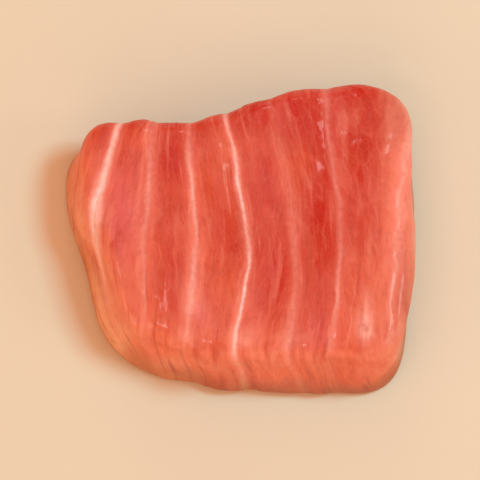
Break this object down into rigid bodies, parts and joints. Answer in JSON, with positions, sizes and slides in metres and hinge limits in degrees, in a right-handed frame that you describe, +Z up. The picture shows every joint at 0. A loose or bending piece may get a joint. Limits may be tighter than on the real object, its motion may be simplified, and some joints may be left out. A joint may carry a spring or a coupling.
{
  "type": "tuna sashimi slice",
  "caption": "Thick four-sided slice of raw tuna with a flat underside, rolled edges, slanting sides and bands of flesh parted by pale curved seams.",
  "frame": {"origin": "middle of the slice's box, on the surface that the slice rests on", "axes": "+X across the pale seams, the longest way; +Y along the seams; +Z up, the thickness"},
  "size_m": [0.0428, 0.0372, 0.0121],
  "materials": {
    "tuna_flesh": "wet, slightly translucent raw flesh with a soft gloss"
  },
  "bodies": {
    "root": {"tuna_slice": "tuna_flesh"}
  },
  "joints": []
}
